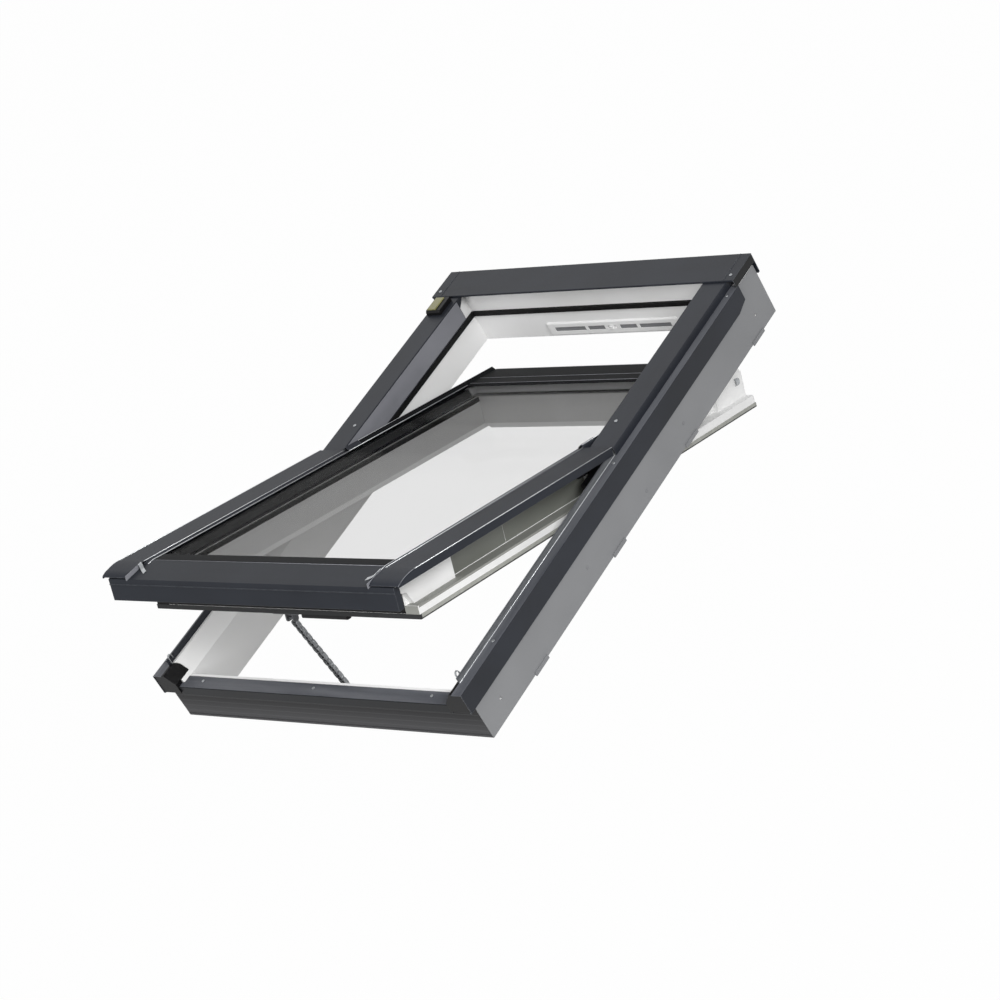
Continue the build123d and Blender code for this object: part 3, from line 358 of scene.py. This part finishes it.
def swung(points):
    """Shut sash points turned about the pivot line to the open pose: a plane rotation of (y, z)."""
    y, z = points[..., 1], points[..., 2] - PIVOT_Z
    c, s = np.cos(OPEN_TURN), np.sin(OPEN_TURN)
    return np.stack([points[..., 0], y * c + z * s, PIVOT_Z - y * s + z * c], axis=-1)


def rings(grid):
    """Closed skin over a grid of rings: quads between neighbours, one flat cap on the first and last ring."""
    count, around, _ = grid.shape
    row = np.arange(count - 1)[:, None] * around
    here = np.arange(around)[None, :]
    there = (here + 1) % around
    quads = np.stack([row + here, row + there, row + around + there, row + around + here], axis=-1)
    caps = [list(range(around))[::-1], list(range((count - 1) * around, count * around))]
    return grid.reshape(-1, 3), quads.reshape(-1, 4).tolist() + caps


def swept(path, profile, across=(1, 0, 0), up=(0, 0, 1)):
    """A closed profile (a, b) carried along a path: point = path + a * across + b * up."""
    path, profile = np.asarray(path, float), np.asarray(profile, float)
    across, up = np.asarray(across, float), np.asarray(up, float)
    return rings(path[:, None, :] + profile[None, :, :1] * across + profile[None, :, 1:] * up)


def joined(parts):
    """Several skins as one: the faces of each are counted on from the points before."""
    starts = np.cumsum([0] + [len(points) for points, _ in parts])
    faces = [[int(start) + index for index in face] for start, (_, some) in zip(starts, parts) for face in some]
    return np.concatenate([points for points, _ in parts]), faces


def mirrored(parts):
    """The same skins on both sides of the window: X and its negative."""
    return parts + [(points * (-1, 1, 1), faces) for points, faces in parts]


def piece(name, parts, material, body, open_sash=False, smooth=False):
    """One object from its skins, faces turned outwards, carried by a body."""
    points, faces = joined(parts)
    points = swung(points) if open_sash else points
    mesh = bpy.data.meshes.new(name)
    mesh.from_pydata(points.tolist(), [], faces)
    shell = bmesh.new()
    shell.from_mesh(mesh)
    bmesh.ops.recalc_face_normals(shell, faces=shell.faces)
    shell.to_mesh(mesh)
    shell.free()
    mesh.polygons.foreach_set("use_smooth", np.full(len(mesh.polygons), smooth))
    mesh.materials.append(material)
    thing = bpy.data.objects.new(name, mesh)
    scene.collection.objects.link(thing)
    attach(thing, body)
    return thing


def oval(width, height, count=8):
    """Closed oval profile: half width times cosine, half height times sine."""
    turn = np.linspace(0, 2 * np.pi, count, endpoint=False) + np.pi / count
    return np.stack([width / 2 * np.cos(turn), height / 2 * np.sin(turn)], axis=1)


def run_y(x, start, end, z):
    """Straight path along Y."""
    return np.array([(x, start, z), (x, end, z)])


# Bright rods on the sash covers' folds: painted highlights on the fold radius

def cover_top(x):
    """Top line of a lower cover, shut: flat, then a smooth curve through the nose's middle and end heights."""
    share = np.linspace(0, 1, 13)
    mid, mid_drop = 0.55, 0.28
    curve = mid_drop * share * (share - 1) / (mid * (mid - 1)) + share * (share - mid) / (1 - mid)
    nose = np.stack([np.full(13, x), -577 - 50 * share, 150.5 - 13 * curve], axis=1)
    return np.concatenate([[(x, 12, 150.5)], nose]) * MM


fold = oval(1.6 * MM, 1.3 * MM)
piece("cover_folds", mirrored([swept(cover_top(377.7)[:2], fold), swept(cover_top(309.4)[:2], fold)]), fold_gleam_metal,
      "sash", open_sash=True, smooth=True)
# Pale rods along the noses' folds: painted highlights, fainter than the others.
nose_fold = oval(1.1 * MM, 1.0 * MM)
piece("nose_folds", mirrored([swept(cover_top(377.7)[1:], nose_fold)]), gleam_coat, "sash",
      open_sash=True, smooth=True)

# Lip edges beside the glass as bright rods, painted highlights, each with a tail that laps onto the bottom cover
lip_edge = np.array([(297.4, 12, 148.5), (297.4, -534, 148.5), (297.4, -564, 148.7), (297.4, -578, 145.6)]) * MM
piece("lip_edges", mirrored([swept(lip_edge, oval(1.6 * MM, 1.2 * MM))]), fold_gleam_metal, "sash",
      open_sash=True, smooth=True)
tail_path = np.array([(298, -533.5, 148.2), (298, -564, 148.2), (298, -578, 145.0)]) * MM
tail_section = np.array([(0, 0), (10.8, 0), (10.8, 2.0), (9.6, 2.0), (9.4, 0.7), (0, 0.7)]) * MM
piece("lip_tails", mirrored([swept(tail_path, tail_section)]), sash_coat, "sash", open_sash=True)

# Laps over the lower ends of the glazing beads
lap_section = np.array([(297.6, 151.0), (306.2, 157.0), (310.4, 153.5), (310.4, 144.0), (309.5, 144.0),
                        (309.5, 152.6), (306.2, 156.2), (298.0, 150.4)]) * MM
piece("bead_laps", mirrored([swept(run_y(0.0, 11.5 * MM, 52 * MM, 0.0), lap_section)]), sash_coat,
      "sash", open_sash=True)

# Bright edges of the glazing beads: rods that are painted highlights
bead_edge = oval(1.5 * MM, 1.2 * MM)
piece("bead_edges", mirrored([swept(run_y(307 * MM, 12.5 * MM, 503 * MM, 155.6 * MM), bead_edge),
                              swept(run_y(297.1 * MM, 12.5 * MM, 403 * MM, 149.0 * MM), bead_edge)]),
      fold_gleam_metal, "sash", open_sash=True, smooth=True)

# Pale rods along the edges of the strip over the top of the glass: painted highlights
strip_edges = [np.array([(-296, y, 150.1), (296, y, 150.1)]) * MM for y in (503.4, 446.0, 411.5)]
strip_edge = oval(1.6 * MM, 1.0 * MM)
piece("top_strip_edges", [swept(path, strip_edge, across=(0, 1, 0)) for path in strip_edges], gleam_coat,
      "sash", open_sash=True, smooth=True)

# Pale metal faces on the side claddings' upstands, a painted lit face, and bright lines at their feet, painted
# highlights
lit_face_section = np.array([(0.0, 1.4), (0.4, 1.4), (0.45, 6.0), (0.4, 10.6), (0.0, 10.6)]) * MM
piece("upstand_lit_faces", mirrored([swept(run_y(372.2 * MM, -576.5 * MM, 519 * MM, 123.2 * MM), lit_face_section)]),
      lit_face_metal, "frame")
piece("upstand_lines", mirrored([swept(run_y(373.0 * MM, -576.5 * MM, 519 * MM, 123.5 * MM),
                                       oval(1.5 * MM, 1.2 * MM))]), fold_gleam_metal, "frame", smooth=True)

# Pale sheets on the upper covers' inner flanges: painted reflection of the pale surround
flange_gleam_section = np.array([(0, 0), (-0.35, 0.4), (-0.45, 22.0), (-0.35, 45.2), (0, 45.6)]) * MM
piece("flange_gleam_sheets", mirrored([swept(run_y(320 * MM, 22.6 * MM, 496 * MM, 92.2 * MM), flange_gleam_section)]), gleam_coat,
      "frame")

# Pale rod at the crease of the bottom cover, a painted highlight, and a black band between it and the glass, painted
# shade on the flat part
crease = np.array([(-297, -564.5, 148.2), (297, -564.5, 148.2)]) * MM
piece("bottom_cover_crease", [swept(crease, oval(1.0 * MM, 0.8 * MM), across=(0, 1, 0))], gleam_coat,
      "sash", open_sash=True, smooth=True)
apron = np.array([(-296, -563.6, 148.2), (296, -563.6, 148.2)]) * MM
shade_band_section = np.array([(0, 0), (28.4, 0), (28.2, 0.4), (14, 0.5), (0.3, 0.4)]) * MM
piece("glass_shade_band", [swept(apron, shade_band_section, across=(0, 1, 0))], black_coat, "sash",
      open_sash=True)


# Tapes on the stiles and their ledges, dark skirts on the stiles' inner walls that are painted shade, and a dark
# ribbed strip in front of the sash's bottom rail that is painted shade

def tape(start, end):
    """Thin tape with a crowned face: its middle stands a little prouder than its edges, as half a sine."""
    height = np.linspace(68.0, 117.5, 9)
    crown = 0.45 + 0.25 * np.sin(np.pi * (height - 68.0) / 49.5)
    face = np.stack([crown, height], axis=1)
    back = np.stack([np.zeros(9), height[::-1]], axis=1)
    return swept(run_y(306 * MM, start * MM, end * MM, 0.0), np.concatenate([face, back]) * MM)


piece("stile_tapes", mirrored([tape(-421.2, -257.5), tape(-256.2, -4.0)]), stile_grey, "sash",
      open_sash=True)
# Painted shade: dark rubber skirts along the stiles' inner walls under the glass, where the sash shades them.
skirt_section = np.array([(0, 107.0), (-0.7, 107.2), (-1.6, 109.0), (-0.9, 112.0), (-0.8, 117.0), (0, 117.6)]) * MM
piece("stile_shade_skirts", mirrored([swept(run_y(282 * MM, -513 * MM, 410.4 * MM, 0.0), skirt_section)]), rubber,
      "sash", open_sash=True)
ledge_section = np.array([(308, 67.0), (336, 67.0), (336, 63.4), (336.4, 63.4), (336.4, 67.1), (335.9, 67.5),
                          (321, 67.6), (308.3, 67.4)]) * MM
piece("ledge_tapes", mirrored([swept(run_y(0.0, -549 * MM, -30 * MM, 0.0), ledge_section)]), ledge_grey,
      "sash", open_sash=True)
# Painted shade: a dark ribbed strip over the front of the sash's bottom rail, with a dark toe at the left end, where
# the rail lies in shade.
ribs = np.array([(0, 52.0), (-1.3, 52.0), (-1.9, 54.0), (-1.0, 57.5), (-1.9, 61.0), (-1.0, 64.5), (-1.9, 68.0),
                 (-1.0, 72.0), (-0.7, 94.0), (0, 94.0)]) * MM
front_path = np.array([(-304, FRONT_Y, 0), (304, FRONT_Y, 0)]) * MM
toe = np.array([(0, 43.0), (-1.0, 43.4), (-1.3, 55.0), (-1.0, 66.3), (0, 66.6)]) * MM
toe_path = np.array([(-335, FRONT_Y, 0), (-304.2, FRONT_Y, 0)]) * MM
piece("ledge_ends", [swept(toe_path * (-1, 1, 1), toe * (-1, 1), across=(0, -1, 0))], ledge_grey,
      "sash", open_sash=True)
piece("front_shade_strip", [swept(front_path, ribs, across=(0, 1, 0)), swept(toe_path, toe, across=(0, 1, 0))], rubber,
      "sash", open_sash=True)


# Chain

CHAIN_FOOT = np.array([0, -514, 13]) * MM
CHAIN_HEAD = np.array([0, -534.6, 216.6]) * MM
LINKS = 22
LINK_HEIGHT = 8.2 * MM
LINK_THICKNESS = 1.5
chain_run = CHAIN_HEAD - CHAIN_FOOT
chain_way = chain_run / np.linalg.norm(chain_run)
chain_side = np.array([0, chain_way[2], -chain_way[1]])
pitch = np.linalg.norm(chain_run) / LINKS


def link_plate(index, low, high, height):
    """Waisted plate: half height times sine, drawn in by a cosine waist, carried from one face to the other."""
    turn = np.linspace(0, 2 * np.pi, 20, endpoint=False) + np.pi / 20
    length = np.sign(np.cos(turn)) * pitch / 2 + height / 2 * np.cos(turn)
    waist = 1 - 0.12 * np.cos(np.clip(length / (pitch / 2), -1, 1) * np.pi / 2)
    width = height / 2 * np.sin(turn) * waist
    middle = CHAIN_FOOT + chain_way * pitch * (index + 0.5)
    loop = middle + length[:, None] * chain_way + width[:, None] * chain_side
    return rings(loop[None, :, :] + np.array([low, high])[:, None, None] * np.array([1.0, 0, 0]))


def link_pin(index, radius, reach):
    """Pin across the chain: circles along X whose radius draws in at both ends."""
    turn = np.linspace(0, 2 * np.pi, 12, endpoint=False)
    circle = np.cos(turn)[:, None] * chain_way + np.sin(turn)[:, None] * chain_side
    x = np.array([-reach, -reach + 0.3 * MM, reach - 0.3 * MM, reach])
    size = np.array([0.6, 1.0, 1.0, 0.6]) * radius
    middle = CHAIN_FOOT + chain_way * pitch * index
    return rings(middle + size[:, None, None] * circle + x[:, None, None] * np.array([1.0, 0, 0]))


plates = []
for index in range(LINKS):
    inside = 3.5 + (index % 2) * 1.6
    plates += [link_plate(index, low * MM, high * MM, LINK_HEIGHT)
               for low, high in ((-inside - LINK_THICKNESS, -inside), (inside, inside + LINK_THICKNESS))]
chain = piece("chain_plates", plates, chain_steel, "frame")
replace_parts(chain, "push_chain")
rollers = piece("chain_rollers", [link_pin(index, 2.0 * MM, 3.4 * MM) for index in range(LINKS + 1)], dark_steel,
                "frame", smooth=True)
pins = piece("chain_pins", [link_pin(index, 1.3 * MM, 6.9 * MM) for index in range(LINKS + 1)], zinc,
             "frame", smooth=True)
for part in (chain, rollers, pins):
    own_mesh(part)


# Fastener heads

def cross_head(radius, height, place, facing, recess=0.55):
    """Pan head with a cross recess: dome height less a cross-shaped dip, as rings about the facing axis."""
    share = np.array([0.05, 0.2, 0.34, 0.46, 0.58, 0.75, 0.9, 1.0, 1.0])
    turn = np.linspace(0, 2 * np.pi, 32, endpoint=False)
    dome = height * np.sqrt(np.clip(1 - 0.72 * share ** 3, 0, 1))
    dome[-1] = 0.0
    arms = np.clip(np.cos(4 * turn) * 2.2 - 0.4, 0, 1)
    dip = recess * height * np.clip((0.62 - share) / 0.2, 0, 1)[:, None] * (0.25 + 0.75 * arms)[None, :]
    facing = np.asarray(facing, float)
    first = np.cross(facing, (0, 1, 0))
    second = np.cross(facing, first)
    flat = share[:, None, None] * radius * (np.cos(turn)[:, None] * first + np.sin(turn)[:, None] * second)
    return rings(np.asarray(place) * MM + flat + (dome[:, None] - dip)[..., None] * facing)


top_spots = ((382.8, -470.2, 123.2), (382.8, 0, 123.2), (382.8, 487.9, 123.2), (340, 100.3, 140), (382, 528, 144))
top_heads = [cross_head(3.6 * MM, 1.5 * MM, spot, (0, 0, 1)) for spot in top_spots]
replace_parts(piece("cladding_heads", mirrored(top_heads), zinc, "frame", smooth=True),
            "cladding_screws")
side_spots = ((390, -194.7, 39), (390, 206.5, 39), (390, 33.0, 22))
side_heads = [cross_head(3.4 * MM, 1.2 * MM, spot, (1, 0, 0)) for spot in side_spots]
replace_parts(piece("side_heads", mirrored(side_heads), grey_trim, "frame", smooth=True), "side_screws")
rivet_spots = ((-293.25, -583.5, 93.2), (0, -583.5, 93.2), (293.25, -583.5, 93.2))
rivets = [cross_head(3.2 * MM, 1.3 * MM, spot, (0, 0, 1), 0.15) for spot in rivet_spots]
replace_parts(piece("rivet_heads", rivets, zinc, "frame", smooth=True), "bottom_rivets")


# Gauze in the inlet's slots

def gauze(low, high):
    """Sheet with a fine wave over its face: depth = base less a sine along X and a bulge by height, flat back."""
    x = np.linspace(VENT_X + low, VENT_X + high, 60)
    wave = 537.6 - 0.12 * np.sin(x * 2 * np.pi / 2.7)
    level = np.array([14.6, 18.0, 20.0, 22.0, 25.4])
    bulge = np.array([0.0, 0.15, 0.0, 0.15, 0.0])
    grid = np.empty((5, 120, 3))
    grid[..., 0] = np.concatenate([x, x[::-1]])
    grid[:, :60, 1] = wave - bulge[:, None]
    grid[:, 60:, 1] = 538.6
    grid[..., 2] = level[:, None]
    return rings(grid * MM)


slot_spans = ((-153, -71.3), (-63.9, -20.2), (20.2, 63.9), (71.3, 153))
piece("slot_gauze", [gauze(*span) for span in slot_spans], gauze_grey, "frame")


# Clips, nose tabs and hinge stops

def bent_strip(points, width, thickness, sideways):
    """Sprung strip: a line of points thickened along its normal and carried across by its width."""
    line = np.asarray(points, float) * MM
    sideways = np.asarray(sideways, float)
    normal = np.cross(np.gradient(line, axis=0), sideways)
    normal /= np.linalg.norm(normal, axis=1)[:, None]
    half = thickness / 2 * normal
    edge = width / 2 * sideways
    return rings(np.stack([line + half - edge, line + half + edge, line - half + edge, line - half - edge], axis=1))


clip_line = np.array([(308, -589.5, 151.2), (305, -591, 150.6), (301, -593, 147.5), (295, -597, 142.6),
                      (290, -600, 140.7), (283, -604, 139.3)])
piece("corner_clips", mirrored([bent_strip(clip_line, 9 * MM, 0.9 * MM, (0, 0.9715, 0.237))]), zinc,
      "sash", open_sash=True)


def nose_tab():
    """Upright flange under a nose's inner edge: its top falls evenly to the tip, its foot follows the cover below."""
    y = np.linspace(-588, -631, 9)
    top = np.linspace(150.8, 142.0, 9)
    foot = np.minimum(148.6 + (y + 564.5) * 15 / 61.5, top - 4)
    outer = np.stack([np.full(9, 309.0), y, top], axis=1)
    low = np.stack([np.full(9, 309.0), y, foot], axis=1)
    shift = np.array([-0.8, 0, 0])
    return rings(np.stack([outer, low, low + shift, outer + shift], axis=1) * MM)


# The pale grey on the nose tabs is a painted reflection on the flanges under the noses.
piece("nose_tabs", mirrored([nose_tab()]), gleam_coat, "sash", open_sash=True)
hook_line = np.array([(368.4, -571, 123.4), (368.4, -571, 138), (368.4, -568.5, 142), (368.4, -564, 142.4),
                      (368.4, -561.5, 138), (368.4, -561.5, 131)])
piece("upstand_clips", mirrored([bent_strip(hook_line, 4 * MM, 0.8 * MM, (1, 0, 0))]), zinc, "frame")
catch_line = np.array([(318, 510, 96), (320.5, 510, 96.5), (322.5, 510, 99), (322.8, 510, 103), (322.5, 510, 107),
                       (320.5, 510, 109.5), (318, 510, 110)])
piece("cap_catches", mirrored([bent_strip(catch_line, 12 * MM, 0.9 * MM, (0, 1, 0))]), zinc, "sash",
      open_sash=True)

stop_section = np.array([(340.4, 93.2), (364.6, 121.3), (340.4, 121.3)]) * MM
shield_section = np.array([(340.4, 122.02), (370.6, 122.02), (370.4, 122.9), (340.8, 122.9)]) * MM
piece("hinge_stops", mirrored([swept(run_y(0.0, -61.4 * MM, -60.05 * MM, 0.0), stop_section),
                               swept(run_y(0.0, -61.2 * MM, 21 * MM, 0.0), shield_section)]), black_plastic,
      "frame")


# Floor, light and camera

def seen_directly(tree):
    """One for rays from the camera, in gloss or through glass, and zero once a surface has scattered them."""
    path = tree.nodes.new("ShaderNodeLightPath")
    seen = path.outputs["Is Camera Ray"]
    for name in ("Is Transmission Ray", "Is Glossy Ray"):
        larger = tree.nodes.new("ShaderNodeMath")
        larger.operation = "MAXIMUM"
        tree.links.new(seen, larger.inputs[0])
        tree.links.new(path.outputs[name], larger.inputs[1])
        seen = larger.outputs[0]
    unscattered = tree.nodes.new("ShaderNodeMath")
    unscattered.operation = "LESS_THAN"
    unscattered.inputs[1].default_value = 0.5
    tree.links.new(path.outputs["Diffuse Depth"], unscattered.inputs[0])
    both = tree.nodes.new("ShaderNodeMath")
    both.operation = "MULTIPLY"
    tree.links.new(seen, both.inputs[0])
    tree.links.new(unscattered.outputs[0], both.inputs[1])
    return both.outputs[0]


def pale_floor(height, reach, paleness, glow_share):
    """Flat grid at one height; nearly white to the eye, in gloss and through glass, and it takes the shadow."""
    u, v = np.meshgrid(np.linspace(-reach, reach, 9), np.linspace(-reach, reach, 9), indexing="ij")
    points = np.stack([u, v, np.full_like(u, height)], axis=-1).reshape(-1, 3)
    corner = (np.arange(8)[:, None] * 9 + np.arange(8)[None, :]).ravel()
    faces = np.stack([corner, corner + 9, corner + 10, corner + 1], axis=1)
    mesh = bpy.data.meshes.new("pale floor")
    mesh.from_pydata(points.tolist(), [], faces.tolist())
    floor = bpy.data.objects.new("pale_floor", mesh)
    scene.collection.objects.link(floor)
    material = bpy.data.materials.new("pale floor paint")
    material.use_nodes = True
    tree = material.node_tree
    tree.nodes.clear()
    output = tree.nodes.new("ShaderNodeOutputMaterial")
    mix = tree.nodes.new("ShaderNodeMixShader")
    paint = tree.nodes.new("ShaderNodeBsdfDiffuse")
    paint.inputs["Color"].default_value = (paleness, paleness, paleness, 1.0)
    glow = tree.nodes.new("ShaderNodeEmission")
    share = tree.nodes.new("ShaderNodeMath")
    share.operation = "MULTIPLY"
    share.inputs[1].default_value = glow_share
    tree.links.new(seen_directly(tree), share.inputs[0])
    tree.links.new(share.outputs[0], mix.inputs[0])
    tree.links.new(paint.outputs[0], mix.inputs[1])
    tree.links.new(glow.outputs[0], mix.inputs[2])
    tree.links.new(mix.outputs[0], output.inputs["Surface"])
    mesh.materials.append(material)


def studio_world(fill):
    """Plain pale surround: brighter to the eye, in gloss and through glass, a softer level as light."""
    world = bpy.data.worlds.new("studio surround")
    scene.world = world
    world.use_nodes = True
    tree = world.node_tree
    tree.nodes.clear()
    output = tree.nodes.new("ShaderNodeOutputWorld")
    ground = tree.nodes.new("ShaderNodeBackground")
    level = tree.nodes.new("ShaderNodeMapRange")
    level.inputs["To Min"].default_value = fill
    level.inputs["To Max"].default_value = 1.0
    tree.links.new(seen_directly(tree), level.inputs["Value"])
    tree.links.new(level.outputs["Result"], ground.inputs["Strength"])
    tree.links.new(ground.outputs[0], output.inputs["Surface"])


def soft_box(name, place, aim, width, height, power):
    """Rectangular studio lamp at a place, facing a point, not seen through glass."""
    data = bpy.data.lights.new(name, "AREA")
    data.shape = "RECTANGLE"
    data.size = width
    data.size_y = height
    data.energy = power
    lamp = bpy.data.objects.new(name, data)
    facing = (Vector(aim) - Vector(place)).to_track_quat("-Z", "Y")
    lamp.matrix_world = Matrix.Translation(place) @ facing.to_matrix().to_4x4()
    lamp.visible_transmission = False
    scene.collection.objects.link(lamp)


pale_floor(-0.42, 9.0, 0.38, 0.985)
studio_world(0.47)
soft_box("sheen_box", (-2.4, 2.3, 2.15), (0, 0, 0.1), 3.1, 2.6, 13.5)
soft_box("side_box", (3.6, -1.2, 2.6), (0, 0, 0.05), 1.8, 1.6, 134.0)
soft_box("front_box", (0.6, -3.2, 1.9), (0, 0, 0.05), 1.8, 1.4, 56.0)

camera_data = bpy.data.cameras.new("photo_camera")
camera_data.lens = 102.72
camera_data.sensor_width = 36.0
camera_data.clip_end = 100.0
camera = bpy.data.objects.new("photo_camera", camera_data)
right = Vector((0.761615, 0.477534, -0.438068))
up = Vector((-0.004112, 0.679548, 0.733620))
back = Vector((0.648016, -0.556935, 0.519518))
turn = Matrix((right, up, back)).transposed().to_4x4()
camera.matrix_world = Matrix.Translation((3.67911, -3.11989, 2.93735)) @ turn
scene.collection.objects.link(camera)
scene.camera = camera
